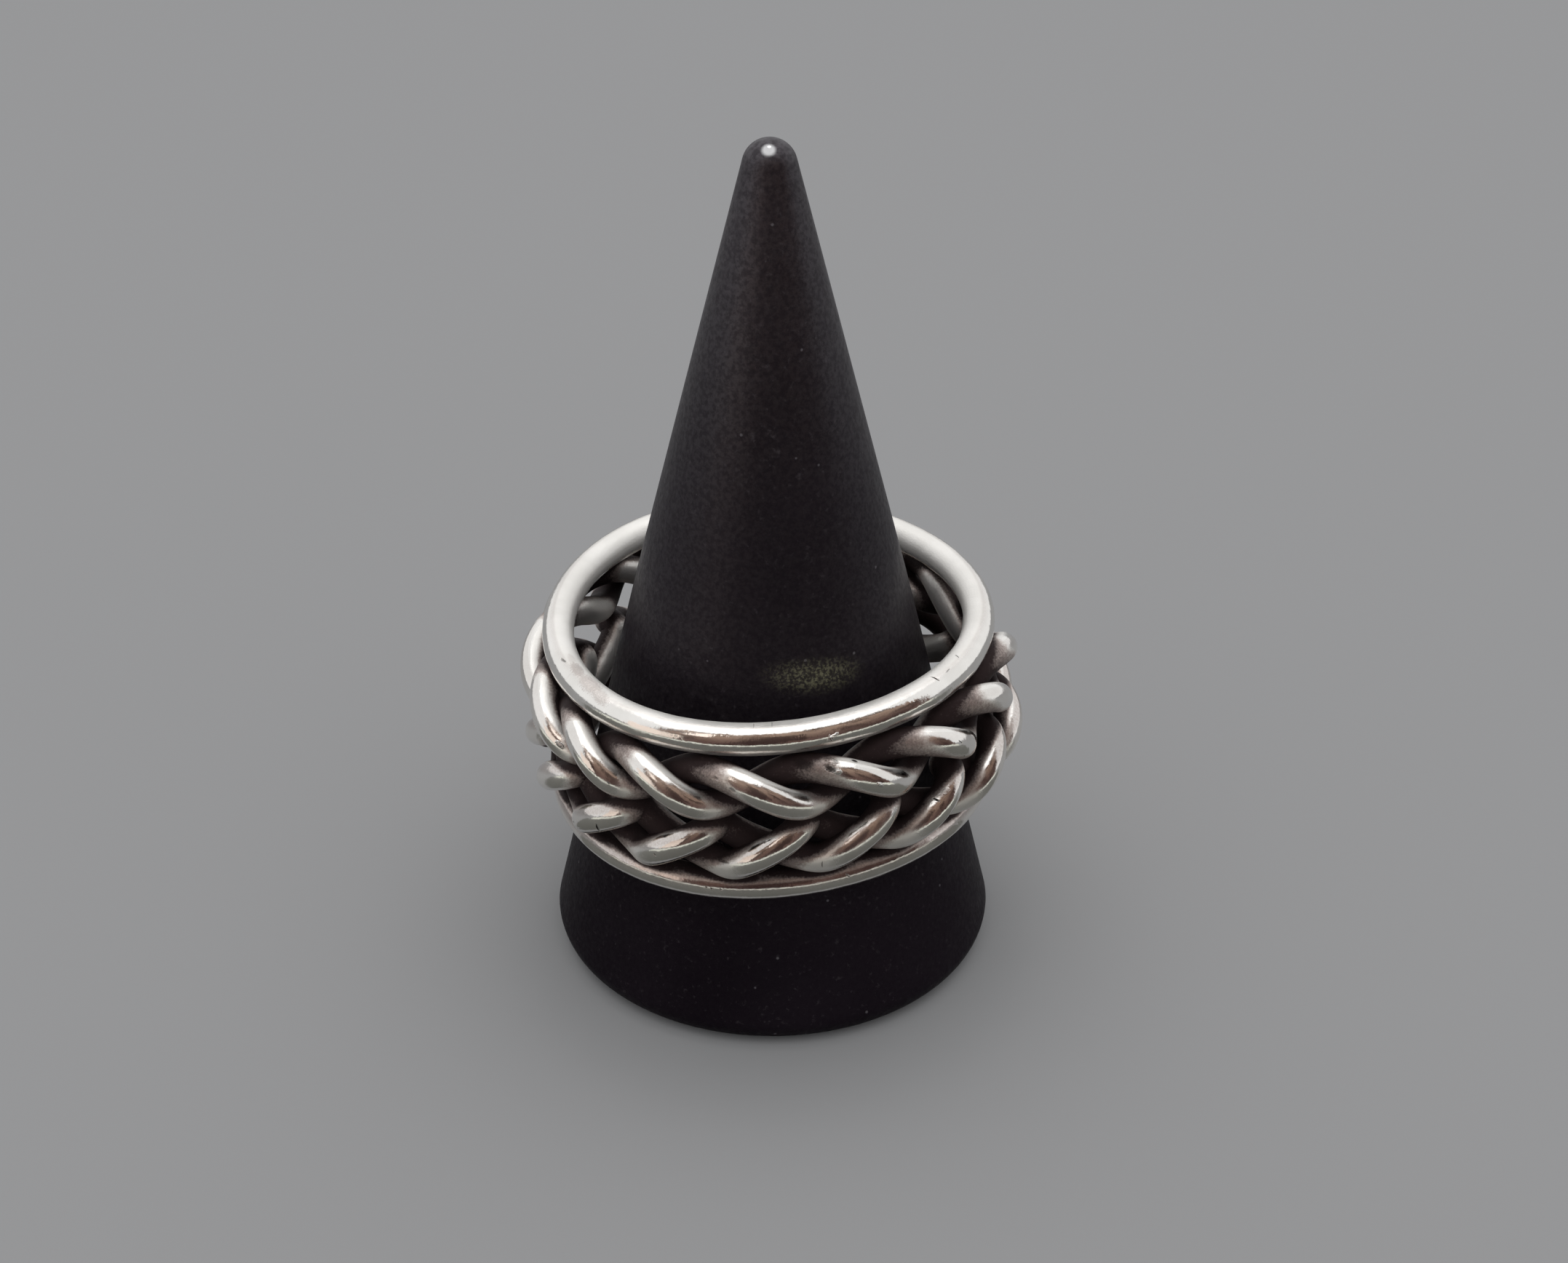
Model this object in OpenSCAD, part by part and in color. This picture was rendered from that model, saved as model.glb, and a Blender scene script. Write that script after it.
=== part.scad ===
// Openwork twist ring on a plain cone ring stand.
// Two plain edge wires hold two ropes of twisted wire between them. The ropes
// are wound the opposite way to each other, and all of it is soldered into one
// band, a little out of round, as a hand-made ring is.
// Millimetres, +Z up, origin at the middle of the stand's flat base.

/* [Ring] */
// Finger hole across, between the insides of the edge wires
finger_d = 18.8; // [17:0.1:19.8]
// Height between the middles of the two edge wires
rail_gap = 8.15; // [7.6:0.05:8.6]
// Thickness of the edge wires
rail_wire = 1.52; // [1.3:0.02:1.7]
// Thickness of the wire in the two ropes
rope_wire = 1.42; // [1.3:0.02:1.5]
// How far the upper rope stands out past the edge wires
upper_proud = 1.22; // [1.0:0.02:1.4]
// How far the lower rope stands out past the edge wires
lower_proud = 1.34; // [1.0:0.02:1.5]
// The upper rope's share of the height between the edge wires, in percent
upper_share = 47.3; // [44:0.1:54]
// How deep each soldered line bites
solder_bite = 0.06; // [0.04:0.01:0.12]

/* [Stand] */
// Width of the stand at its widest, just above the table
base_d = 21.54; // [21:0.02:24]
// Width of the stand where its taper changes, just above the ring
neck_d = 12.84; // [12.4:0.02:13.2]
// Height of the stand where its taper changes
neck_z = 20; // [18.5:0.1:22]
// Height to the top of the rounded tip
stand_h = 42.3; // [40:0.1:44]
// Radius of the rounded tip
tip_r = 1.25; // [1.1:0.05:1.6]
// Radius of the rounded bottom edge
edge_r = 1.2; // [0.6:0.1:1.6]

/* [Fit on the stand] */
// Average gap between the lower edge wire and the cone it hangs on
ring_clear = 0.5; // [0.48:0.01:0.6]
// How far the ring hangs off the cone's axis, towards -X
ring_off = 0.22; // [0:0.01:0.22]
// How far the ring leans, down towards +X, in degrees
ring_lean = 1.15; // [0:0.05:1.2]

/* [Hidden] */

bore_r = finger_d / 2;
rail_r = rail_wire / 2;
rope_r = rope_wire / 2;

// Height that the two ropes share, and each rope's own half height
ropes_h = rail_gap - rail_wire + 3 * solder_bite;
upper_half = ropes_h * upper_share / 200;
lower_half = ropes_h / 2 - upper_half;
upper_z = rail_gap / 2 - rail_r + solder_bite - upper_half;
lower_z = -rail_gap / 2 + rail_r - solder_bite + lower_half;

// The hand-made band is a little out of round.
// Columns: waves round the ring, size in mm, where the first wave peaks
OUT_OF_ROUND = [
    [2, 0.11, 155],
    [3, 0.16, 350]];

// How each rope wanders on its way round.
// Columns: waves round the ring, along the rope in degrees and its peak,
// outwards in mm and its peak, upwards in mm and its peak
UPPER_WANDER = [
    [1, 3.4,   0, 0.08, 260, 0.07, 125],
    [2, 2.6,  85, 0.14, 270, 0.03, 230],
    [3, 2.5, 210, 0.00,   0, 0.00,   0]];
LOWER_WANDER = [
    [1, 4.1,  90, 0.26,  60, 0.06, 310],
    [2, 2.8, 225, 0.04, 135, 0.03, 250],
    [3, 0.9, 290, 0.00,   0, 0.00,   0]];

// The two ropes. An even number of crossings is two closed wires, an odd
// number is one wire that goes round twice.
// Columns: crossings seen from outside, handedness, angle of the first one,
// its height, half height, furthest out, depth at the crossing's side,
// lean of each pass as [sine, double sine, cosine, double cosine] in degrees
C_COUNT = 0; C_HAND = 1; C_START = 2; C_Z = 3; C_HALF = 4; C_OUT = 5;
C_SIDE = 6; C_LEAN = 7; C_WANDER = 8;
UPPER_ROPE = [16, -1, -110.6, upper_z, upper_half - rope_r,
    rail_wire + upper_proud - rope_r, 1.30, [-2, 1, 4, 3], UPPER_WANDER];
LOWER_ROPE = [17, 1, -130.1, lower_z, lower_half - rope_r,
    rail_wire + lower_proud - rope_r, 1.18, [-7, 12, 17, -8], LOWER_WANDER];

// Steps round a wire's section, along one full twist, and round a rail
WIRE_SIDES = 9;
TWIST_STEPS = 10;
RAIL_STEPS = 54;

// Height of the lower edge wire on the cone, and the ring's own middle
cone_slope = (base_d - neck_d) / 2 / (neck_z - edge_r);
ring_low_z = edge_r + (base_d / 2 - (bore_r - ring_clear)) / cone_slope;
ring_z = ring_low_z + rail_gap / 2;

function total(v, i = 0) = i < len(v) ? v[i] + total(v, i + 1) : 0;
function wave(rows, a, size, peak) =
    total([for (w = rows) w[size] * cos(w[0] * a - w[peak])]);
function out_of_round(a) = wave(OUT_OF_ROUND, a, 1, 2);
function unit(v) = v / norm(v);
function polar(r, a, z) = [r * cos(a), r * sin(a), z];

// Distance of a strand's middle outwards from the bore, over one twist:
// 0 degrees is furthest out, 180 is against the finger
function depth(s, out, side) =
    let (inn = rail_r + 0.02, mean = (out + inn) / 2, c = (mean - side) / 2)
    mean - c + (out - inn) / 2 * cos(s) + c * cos(2 * s);

function rail_point(a, z) =
    polar(bore_r + rail_r + out_of_round(a), a, z);

// A strand's middle: s is its twist in degrees, k is which strand
function rope_point(rope, s, k) =
    let (n = rope[C_COUNT], lean = rope[C_LEAN], wander = rope[C_WANDER],
         a0 = rope[C_START] + 2 / n * (s + 180 * k),
         a = a0 + wave(wander, a0, 1, 2) + 2 / n * (
             lean[0] * sin(s) + lean[1] * sin(2 * s)
             + lean[2] * (cos(s) - 1) + lean[3] * (cos(2 * s) - 1)),
         r = bore_r + depth(s, rope[C_OUT], rope[C_SIDE]) + out_of_round(a)
             + wave(wander, a, 3, 4) * (0.5 + 0.5 * cos(s)),
         z = rope[C_Z] + wave(wander, a, 5, 6)
             + rope[C_HAND] * rope[C_HALF] * sin(s))
    polar(r, a, z);

// A round wire swept along a closed run of points. Its many-sided section has
// the area of the round wire.
module closed_wire(path, wire_r) {
    n = len(path);
    m = WIRE_SIDES;
    r = wire_r * sqrt(2 * PI / (m * sin(360 / m)));
    sections = [for (i = [0 : n - 1])
        let (t = unit(path[(i + 1) % n] - path[(i + n - 1) % n]),
             side = unit(cross([0, 0, 1], t)),
             up = cross(t, side))
        for (j = [0 : m - 1])
            path[i] + r * (cos(360 * j / m) * side + sin(360 * j / m) * up)];
    faces = [for (i = [0 : n - 1], j = [0 : m - 1])
        let (i2 = (i + 1) % n, j2 = (j + 1) % m,
             a = i * m + j, b = i * m + j2, c = i2 * m + j2, d = i2 * m + j)
        each [[a, b, c], [a, c, d]]];
    polyhedron(points = sections, faces = faces);
}

module rail(z) {
    closed_wire([for (i = [0 : RAIL_STEPS - 1])
        rail_point(360 * i / RAIL_STEPS, z)], rail_r);
}

module rope(rope) {
    n = rope[C_COUNT];
    wires = n % 2 == 0 ? 2 : 1;
    steps = TWIST_STEPS * n / wires;
    turn = 360 * n / wires;
    for (k = [0 : wires - 1])
        closed_wire([for (i = [0 : steps - 1])
            rope_point(rope, turn * i / steps, k)], rope_r);
}

module ring() {
    color("silver")
    translate([-ring_off, 0, ring_z]) rotate([0, ring_lean, 0]) {
        rail(rail_gap / 2);
        rail(-rail_gap / 2);
        rope(UPPER_ROPE);
        rope(LOWER_ROPE);
    }
}

// Half of the stand's outline: a flat base, a rounded bottom edge, two
// straight tapers and a ball tip that meets the upper taper smoothly
tip_z = stand_h - tip_r;
tip_a = asin((neck_d / 2 - tip_r) / norm([neck_d / 2, tip_z - neck_z]));

module stand_outline() {
    intersection() {
        union() {
            polygon([
                [0, 0], [base_d / 2 - edge_r, 0], [base_d / 2 - edge_r, edge_r],
                [base_d / 2, edge_r], [neck_d / 2, neck_z],
                [tip_r * cos(tip_a), tip_z + tip_r * sin(tip_a)], [0, tip_z]]);
            translate([base_d / 2 - edge_r, edge_r]) circle(edge_r, $fn = 48);
            translate([0, tip_z]) circle(tip_r, $fn = 48);
        }
        square([base_d, stand_h + 1]);
    }
}

module display_cone() {
    color([0.08, 0.08, 0.09])
    rotate_extrude($fn = 96) stand_outline();
}

ring();
display_cone();
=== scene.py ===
import math
import bpy
import numpy as np
from mathutils import Matrix, Vector


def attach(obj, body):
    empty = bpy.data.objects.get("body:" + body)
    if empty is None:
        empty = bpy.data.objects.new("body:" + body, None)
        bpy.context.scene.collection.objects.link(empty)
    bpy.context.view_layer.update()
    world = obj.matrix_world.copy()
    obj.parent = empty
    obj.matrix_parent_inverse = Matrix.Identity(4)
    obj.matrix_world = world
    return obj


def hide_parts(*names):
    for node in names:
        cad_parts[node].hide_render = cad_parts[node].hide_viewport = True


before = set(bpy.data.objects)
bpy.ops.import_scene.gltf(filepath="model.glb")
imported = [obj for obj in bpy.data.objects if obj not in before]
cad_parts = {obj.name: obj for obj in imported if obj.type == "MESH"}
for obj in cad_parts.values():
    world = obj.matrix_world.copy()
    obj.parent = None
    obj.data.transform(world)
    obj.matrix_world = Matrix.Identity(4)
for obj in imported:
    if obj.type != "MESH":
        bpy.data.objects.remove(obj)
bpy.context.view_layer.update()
MM = 0.001

# ---------------------------------------------------------------- camera
# Looks at the ring from 32.5 degrees above the table, 154 mm from the point
# it looks at. The photograph's frame is 2155 x 1736.
FRAME_W, FRAME_H = 2155, 1736
FOCAL_PX, CAM_DIST, CAM_EL, CAM_ROLL = 4400.67, 153.795, 32.4925, -0.096
LOOK_AT = np.array([0.5955, 0.0, 16.7524])


def make_camera():
    el, roll = math.radians(CAM_EL), math.radians(CAM_ROLL)
    back = np.array([0.0, -math.cos(el), math.sin(el)])
    right = np.array([1.0, 0.0, 0.0])
    up = np.cross(back, right)
    c, s = math.cos(roll), math.sin(roll)
    r2, u2 = c * right + s * up, -s * right + c * up
    m = Matrix.Identity(4)
    for i in range(3):
        m[i][0], m[i][1], m[i][2] = r2[i], u2[i], back[i]
        m[i][3] = (LOOK_AT[i] + back[i] * CAM_DIST) * MM
    cam = bpy.data.cameras.new("camera")
    cam.sensor_fit = "HORIZONTAL"
    cam.sensor_width = 36.0
    cam.lens = 36.0 * FOCAL_PX / FRAME_W
    cam.clip_start, cam.clip_end = 0.005, 20.0
    ob = bpy.data.objects.new("camera", cam)
    bpy.context.scene.collection.objects.link(ob)
    ob.matrix_world = m
    bpy.context.scene.camera = ob


make_camera()

# ---------------------------------------------------------------- the ring's wires
# Millimetres and radians, in the ring's own frame: z along the finger, angle
# 0 at +X, counted anticlockwise from above.
BORE_R = 9.4
RAIL_R = 0.758
RAIL_Z = 8.145 / 2
ROPE_R = 0.71
RING_AT = np.array([-0.22, 0.0, 13.447])
AXIS_N = np.array([-0.02, -0.0005, 1.0])
AXIS_N /= np.linalg.norm(AXIS_N)
AXIS_A = np.array([1.0, 0.0, -AXIS_N[0] / AXIS_N[2]])
AXIS_A /= np.linalg.norm(AXIS_A)
AXIS_B = np.cross(AXIS_N, AXIS_A)

# Out of round: [waves, cosine part, sine part]
OUT_OF_ROUND = ((2, -0.099, 0.050), (3, 0.162, -0.029))

# The ropes. count: crossings seen outside; hand: which way they twist; start:
# angle of the first crossing; out, side: how far out a strand runs at its crown
# and at its side; z, half: middle height and half height; lean: how each pass
# leans, as sine, double sine, cosine, double cosine; zc: small height terms;
# along, outward, upward: how the rope wanders, as cosine and sine of one, two
# and three waves round the ring.
UPPER = dict(count=16, hand=-1, start=-1.9302, out=2.0255, side=1.3010,
             z=1.7839, half=0.9005, lean=(-0.0363, 0.0128, 0.0652, 0.0509),
             zc=(-0.0034, 0.0486),
             along=((0.0601, -0.0020), (0.0032, 0.0451), (-0.0378, -0.0208)),
             outward=((-0.0165, -0.0827), (-0.0052, -0.1387)),
             upward=((-0.0390, 0.0574), (-0.0203, -0.0220)))
LOWER = dict(count=17, hand=1, start=-2.2696, out=2.1456, side=1.1815,
             z=-1.5394, half=1.0819, lean=(-0.1233, 0.2142, 0.2908, -0.1332),
             zc=(0.0023, 0.0217),
             along=((-0.0007, 0.0709), (-0.0340, -0.0348), (0.0049, -0.0154)),
             outward=((0.1319, 0.2268), (-0.0265, 0.0275)),
             upward=((0.0404, -0.0510), (-0.0108, -0.0290)))


def out_of_round(th):
    return sum(c * np.cos(k * th) + s * np.sin(k * th) for k, c, s in OUT_OF_ROUND)


def waves(rows, th):
    return sum(c * np.cos((i + 1) * th) + s * np.sin((i + 1) * th)
               for i, (c, s) in enumerate(rows))


def strand(rope, psi, k=0):
    """Angle, radius and height of a strand's middle at twist psi."""
    n = rope["count"]
    a0 = rope["start"] + 2.0 / n * (psi + k * math.pi)
    b1, b2, c1, c2 = rope["lean"]
    th = a0 + waves(rope["along"], a0) + 2.0 / n * (
        b1 * np.sin(psi) + b2 * np.sin(2 * psi)
        + c1 * (np.cos(psi) - 1) + c2 * (np.cos(2 * psi) - 1))
    inn = ROPE_R + 0.02
    mean = (rope["out"] + inn) / 2
    c = (mean - rope["side"]) / 2
    r = (BORE_R + mean - c + (rope["out"] - inn) / 2 * np.cos(psi)
         + c * np.cos(2 * psi)
         + waves(rope["outward"], th) * (0.5 + 0.5 * np.cos(psi))
         + out_of_round(th))
    z = (rope["z"] + waves(rope["upward"], th)
         + rope["hand"] * rope["half"] * np.sin(psi)
         + rope["zc"][0] * np.cos(psi) + rope["zc"][1] * np.cos(2 * psi))
    return th, r, z


def xyz(th, r, z):
    return np.stack([r * np.cos(th), r * np.sin(th), z], -1)


def to_world(p):
    """Ring frame to row frame, millimetres."""
    return (RING_AT + p[..., 0:1] * AXIS_A + p[..., 1:2] * AXIS_B
            + p[..., 2:3] * AXIS_N)


# Each wire as a table over the angle round the ring, for distances
class Wire:
    def __init__(self, name, radius, th, r, z, turns):
        self.name, self.radius, self.turns = name, radius, turns
        span = 2 * math.pi * turns
        m = 3000 * turns
        grid = np.linspace(0.0, span, m, endpoint=False)
        base = np.mod(th, span)
        order = np.argsort(base)
        b = base[order]
        rr, zz = r[order], z[order]
        b = np.concatenate([b[-4:] - span, b, b[:4] + span])
        rr = np.concatenate([rr[-4:], rr, rr[:4]])
        zz = np.concatenate([zz[-4:], zz, zz[:4]])
        self.r = np.interp(grid, b, rr)
        self.z = np.interp(grid, b, zz)
        step = span / m
        self.dr = (np.roll(self.r, -1) - np.roll(self.r, 1)) / (2 * step)
        self.dz = (np.roll(self.z, -1) - np.roll(self.z, 1)) / (2 * step)
        self.m, self.span = m, span

    def look(self, th):
        f = np.mod(th, self.span) / self.span * self.m
        i = f.astype(np.int64)
        t = f - i
        i %= self.m
        j = (i + 1) % self.m
        return [a[i] * (1 - t) + a[j] * t for a in (self.r, self.z, self.dr, self.dz)]

    def distance(self, p, th, turn):
        """Distance from points p, at angles th, to the wire's surface on one
        of its turns round the ring."""
        t = th + 2 * math.pi * turn
        for _ in range(3):
            r, z, dr, dz = self.look(t)
            c, s = np.cos(t), np.sin(t)
            dx, dy, dh = p[:, 0] - r * c, p[:, 1] - r * s, p[:, 2] - z
            tx, ty, tz = dr * c - r * s, dr * s + r * c, dz
            step = (dx * tx + dy * ty + dh * tz) / (tx * tx + ty * ty + tz * tz)
            t = t + np.clip(step, -0.05, 0.05)
        r, z, _, _ = self.look(t)
        return np.sqrt((p[:, 0] - r * np.cos(t)) ** 2 + (p[:, 1] - r * np.sin(t)) ** 2
                       + (p[:, 2] - z) ** 2) - self.radius


def make_wires():
    th = np.linspace(0, 2 * math.pi, 4000, endpoint=False)
    rr = BORE_R + RAIL_R + out_of_round(th)
    wires = [Wire("rail_upper", RAIL_R, th, rr, 0 * th + RAIL_Z, 1),
             Wire("rail_lower", RAIL_R, th, rr, 0 * th - RAIL_Z, 1)]
    for k in (0, 1):
        psi = np.linspace(0, 16 * math.pi, 12000, endpoint=False)
        wires.append(Wire("upper_%d" % k, ROPE_R, *strand(UPPER, psi, k), 1))
    psi = np.linspace(0, 34 * math.pi, 24000, endpoint=False)
    wires.append(Wire("lower_0", ROPE_R, *strand(LOWER, psi, 0), 2))
    return wires


WIRES = make_wires()


def nearest(p, skip=None, own_turn=None):
    """Distance from ring-frame points to the nearest wire. skip is the wire that
    the points belong to; own_turn is which turn of it each point is on."""
    th = np.arctan2(p[:, 1], p[:, 0])
    best = np.full(len(p), 9.0)
    for w in WIRES:
        for turn in range(w.turns):
            if w.name == skip and own_turn is None:
                continue
            d = w.distance(p, th, turn)
            if w.name == skip:
                d = np.where(own_turn == turn, 9.0, d)
            best = np.minimum(best, d)
    return best


# ---------------------------------------------------------------- swept wires
def wobble(rng, s, a, size, waves_s, length):
    """Smooth unevenness of a hand-drawn wire: s along it, a round it."""
    out = np.zeros(np.broadcast(s, a).shape)
    for k in waves_s:
        for m in (0, 1, 2, 3):
            amp = size * rng.uniform(0.4, 1.0) / (1 + 0.35 * m)
            p1, p2 = rng.uniform(0, 2 * math.pi, 2)
            turns = round(length / k * rng.uniform(0.8, 1.25))
            out = out + amp * np.cos(2 * math.pi * turns * s / length + p1) * np.cos(m * a + p2)
    return out


def smooth(a, b, x):
    t = np.clip((x - a) / (b - a), 0, 1)
    return t * t * (3 - 2 * t)


def sweep(name, points, radius, sides, seed, own=None, own_turn=None,
          twist=None, start=0.0):
    """A closed wire along ring-frame points, with fillets where it meets the
    other wires, and the attributes that its finish reads."""
    n = len(points)
    tan = np.roll(points, -1, 0) - np.roll(points, 1, 0)
    seg = np.linalg.norm(np.roll(points, -1, 0) - points, axis=1)
    s = np.concatenate([[0], np.cumsum(seg)[:-1]])
    length = seg.sum()
    tan /= np.linalg.norm(tan, axis=1)[:, None]
    side = np.cross(np.array([0, 0, 1.0]), tan)
    side /= np.linalg.norm(side, axis=1)[:, None]      # points inwards
    side = -side                                       # outwards
    up = np.cross(side, tan)
    up /= np.linalg.norm(up, axis=1)[:, None]
    a = np.linspace(0, 2 * math.pi, sides, endpoint=False) + start
    ca, sa = np.cos(a), np.sin(a)
    normal = ca[None, :, None] * side[:, None] + sa[None, :, None] * up[:, None]
    rng = np.random.RandomState(seed)
    r = radius + wobble(rng, s[:, None], a[None, :], 0.0022, (1.3, 2.3, 4.1, 7.5), length)
    p = points[:, None] + r[..., None] * normal
    flat_p = p.reshape(-1, 3)
    flat_n = normal.reshape(-1, 3)
    turn = None
    if own_turn is not None:
        turn = np.repeat(own_turn, sides)
    gap = nearest(flat_p, own, turn)
    k = 0.20
    lift = k / 4 * np.clip(1 - np.maximum(gap, 0) / k, 0, 1) ** 2
    lift = np.where(gap < -0.02, 0, lift)
    lift = lift.reshape(n, sides)
    p = p + lift[..., None] * normal
    # how enclosed each point is
    occ = np.zeros(n * sides)
    wsum = 0.0
    for t, w in ((0.12, 1.0), (0.28, 1.0), (0.55, 1.0), (0.95, 0.9), (1.5, 0.7)):
        d = nearest(flat_p + t * flat_n)
        d = np.minimum(d, t)
        occ += w * (1 - np.clip(d / t, 0, 1))
        wsum += w
    occ = (occ / wsum).reshape(n, sides)
    th = np.arctan2(p[..., 1], p[..., 0])
    deep = np.hypot(p[..., 0], p[..., 1]) - BORE_R - out_of_round(th)
    facing = normal[..., 0] * np.cos(th) + normal[..., 1] * np.sin(th)
    return dict(name=name, p=p, n=normal, occ=occ, gap=gap.reshape(n, sides), s=s,
                a=a, length=length, deep=deep, facing=facing,
                twist=twist)


def grid_mesh(name, co, quads, extra):
    me = bpy.data.meshes.new(name)
    me.vertices.add(len(co))
    me.vertices.foreach_set("co", co.astype(np.float32).ravel())
    me.loops.add(quads.size)
    me.loops.foreach_set("vertex_index", quads.astype(np.int32).ravel())
    me.polygons.add(len(quads))
    me.polygons.foreach_set("loop_start", (np.arange(len(quads)) * quads.shape[1]).astype(np.int32))
    me.update(calc_edges=True)
    me.polygons.foreach_set("use_smooth", np.ones(len(quads), bool))
    for key, val in extra.items():
        if val.ndim == 2:
            at = me.attributes.new(key, "FLOAT_VECTOR", "POINT")
            at.data.foreach_set("vector", val.astype(np.float32).ravel())
        else:
            at = me.attributes.new(key, "FLOAT", "POINT")
            at.data.foreach_set("value", val.astype(np.float32).ravel())
    me.validate()
    me.update()
    return me


def join_grids(grids):
    """Vertices, faces and attributes of several closed wires as one mesh."""
    co, faces, occ, satin, film_and_painted_tint, along, around, base = [], [], [], [], [], [], [], 0
    for g in grids:
        n, m = g["p"].shape[:2]
        co.append(to_world(g["p"]).reshape(-1, 3) * MM)
        i, j = np.arange(n), np.arange(m)
        i2, j2 = (i + 1) % n, (j + 1) % m
        q = np.stack([i[:, None] * m + j[None, :], i2[:, None] * m + j[None, :],
                      i2[:, None] * m + j2[None, :], i[:, None] * m + j2[None, :]], -1)
        faces.append(q.reshape(-1, 4) + base)
        base += n * m
        occ.append(g["oxide_and_painted_shade"].ravel())
        satin.append(g["satin"].ravel())
        film_and_painted_tint.append(g["film_and_painted_tint"].ravel())
        along.append(np.repeat(g["along"], m))
        around.append(np.tile(g["around"], n))
    extra = dict(oxide_and_painted_shade=np.concatenate(occ), satin=np.concatenate(satin),
                 film_and_painted_tint=np.concatenate(film_and_painted_tint),
                 along=np.concatenate(along), around=np.concatenate(around))
    for k in range(LAYERS):
        for key in ("at_%d" % k, "does_%d" % k):
            extra[key] = np.concatenate([g[key].reshape(-1, 3) for g in grids])
    return np.concatenate(co), np.concatenate(faces), extra


def even(th, r, z, step, also=None):
    """Resamples a closed run of points to even steps. also is one more value
    of each point, to go with them."""
    p = xyz(th, r, z)
    seg = np.linalg.norm(np.roll(p, -1, 0) - p, axis=1)
    s = np.concatenate([[0], np.cumsum(seg)])
    n = int(round(s[-1] / step))
    t = np.linspace(0, s[-1], n, endpoint=False)
    q = np.concatenate([p, p[:1]])
    out = np.stack([np.interp(t, s, q[:, i]) for i in range(3)], -1)
    also = th if also is None else also
    u = np.concatenate([also, [also[0] + (also[-1] - also[0]) * len(th) / (len(th) - 1)]])
    return out, np.interp(t, s, u)


def build_ring():
    out = {}
    th = np.linspace(math.pi / 2, 5 * math.pi / 2, 6000, endpoint=False)
    rr = BORE_R + RAIL_R + out_of_round(th)
    for key, z, seed in (("rail_upper", RAIL_Z, 11), ("rail_lower", -RAIL_Z, 12)):
        pts, _ = even(th, rr, 0 * th + z, 0.10)
        out[key] = [sweep(key, pts, RAIL_R, 48, seed, own=key)]
    grids = []
    for k in (0, 1):
        psi = np.linspace(0, 16 * math.pi, 16000, endpoint=False)
        pts, tw = even(*strand(UPPER, psi, k), 0.10, psi)
        grids.append(sweep("upper_%d" % k, pts, ROPE_R, 44, 21 + k, own="upper_%d" % k,
                           twist=tw))
    out["rope_upper"] = grids
    psi = np.linspace(0, 34 * math.pi, 34000, endpoint=False)
    th, r, z = strand(LOWER, psi, 0)
    pts, tw = even(th, r, z, 0.10, psi)
    _, u = even(th, r, z, 0.10)
    # which turn round the ring each point is on
    ang = np.arctan2(pts[:, 1], pts[:, 0])
    turn = np.round((np.mod(u, 4 * math.pi) - ang) / (2 * math.pi)).astype(int) % 2
    out["rope_lower"] = [sweep("lower_0", pts, ROPE_R, 44, 31, own="lower_0", own_turn=turn,
                               twist=tw)]
    for key, grids in out.items():
        for g in grids:
            finish(g, key.startswith("rope"))
    return out


# How far polishing reaches along a strand's pass, in degrees of twist, by the
# angle round the strand's section (0 faces out, 90 up). Columns: section angle;
# on the left dark, half bright, bright; on the right bright, half bright, dark;
# how bright it gets at all. Where polishing stops, the dark oxide is also painted
# shade: on the faces turned down and the faces turned towards the other rope it
# stands for shade and dark reflections as well as for oxide.
POLISH_AND_SHADE = {
    "upper": ((-90, -95, -30, -10, 50, 80, 125, 0.4),
              (-45, -105, -32, -10, 70, 98, 135, 0.45),
              (-15, -128, -42, -15, 70, 97, 150, 1.0),
              (10, -132, -58, -25, 82, 98, 132, 1.0),
              (30, -122, -70, -48, 58, 83, 120, 1.0),
              (50, -104, -68, -46, 50, 73, 102, 1.0),
              (70, -94, -70, -55, 46, 66, 94, 1.0),
              (95, -84, -66, -54, 15, 48, 88, 1.0),
              (130, -80, -50, -40, -35, -10, 40, 0.5),
              (165, -70, -45, -40, -38, -20, 20, 0.0)),
    "lower": ((-90, -130, -95, -60, 0, 50, 95, 0.7),
              (-45, -145, -112, -80, 20, 75, 110, 1.0),
              (-15, -148, -114, -85, 38, 62, 110, 1.0),
              (10, -142, -100, -65, 50, 68, 98, 1.0),
              (30, -124, -62, -25, 50, 61, 81, 1.0),
              (50, -78, -29, -6, 37, 46, 64, 1.0),
              (70, -48, -17, -5, 18, 34, 58, 1.0),
              (95, -40, -10, 0, 2, 12, 30, 0.4),
              (130, -40, -10, 0, 2, 12, 30, 0.0),
              (165, -40, -10, 0, 2, 12, 30, 0.0)),
}


def polish_and_shade(table, psi, section):
    """1 where a strand is polished, 0 where its oxide is untouched; on the faces turned down and
    those turned towards the other rope that 0 is painted shade as well as oxide.
    """
    t = np.array(table, float)
    sec = (section + 90) % 360 - 90
    far_l, half_l, full_l, full_r, half_r, far_r, most = [
        np.interp(sec, t[:, 0], t[:, k]) for k in range(1, 8)]
    left = np.where(psi > half_l, 0.48 + 0.52 * (psi - half_l) / (full_l - half_l),
                    0.48 * (psi - far_l) / (half_l - far_l))
    right = np.where(psi < half_r, 0.48 + 0.52 * (half_r - psi) / (half_r - full_r),
                     0.48 * (far_r - psi) / (far_r - half_r))
    return np.clip(left, 0, 1) * np.clip(right, 0, 1) * most


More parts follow.
